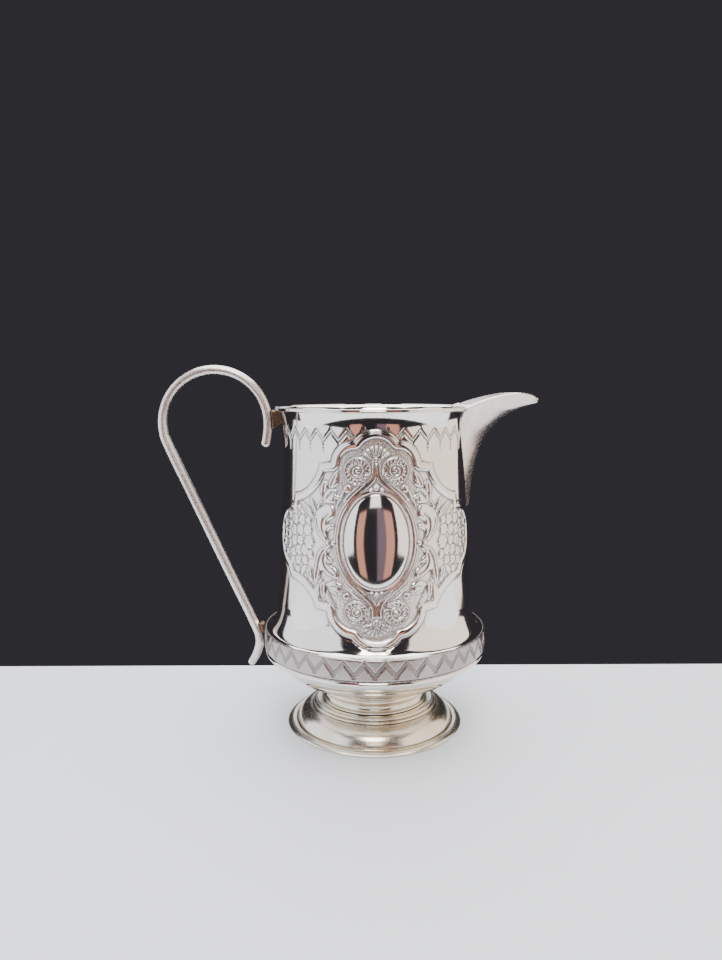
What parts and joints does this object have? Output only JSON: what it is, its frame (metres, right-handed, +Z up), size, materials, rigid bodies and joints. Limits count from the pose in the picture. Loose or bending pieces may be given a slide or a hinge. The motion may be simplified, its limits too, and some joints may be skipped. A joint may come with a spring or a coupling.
{
  "type": "cream jug",
  "caption": "Small metal cream jug with a tall drum, V-shaped pouring spout, wire handle, wide girdle, shallow bowl and a moulded spread foot.",
  "frame": {"origin": "centre of the foot, on the plane that the foot ring stands on", "axes": "+Z up along the jug's axis, +X from the axis towards the spout's tip with the handle along -X, -Y the struck front"},
  "size_m": [0.133, 0.0788, 0.1281],
  "materials": {
    "silver": "polished silver, lightly scratched",
    "toned_silver": "polished silver with a warm tarnish",
    "solder": "dull, fire-stained silver solder"
  },
  "bodies": {
    "root": {"foot_brim": "toned_silver", "foot_dome": "toned_silver", "stem_ring": "toned_silver", "stem_collar": "toned_silver", "lower_bowl": "silver", "drum_shell": "silver", "girdle_band": "silver", "girdle_bead": "silver", "rim_wire": "silver", "spout": "silver", "handle": "silver", "upper_handle_joint": "solder", "lower_handle_joint": "solder"}
  },
  "joints": []
}
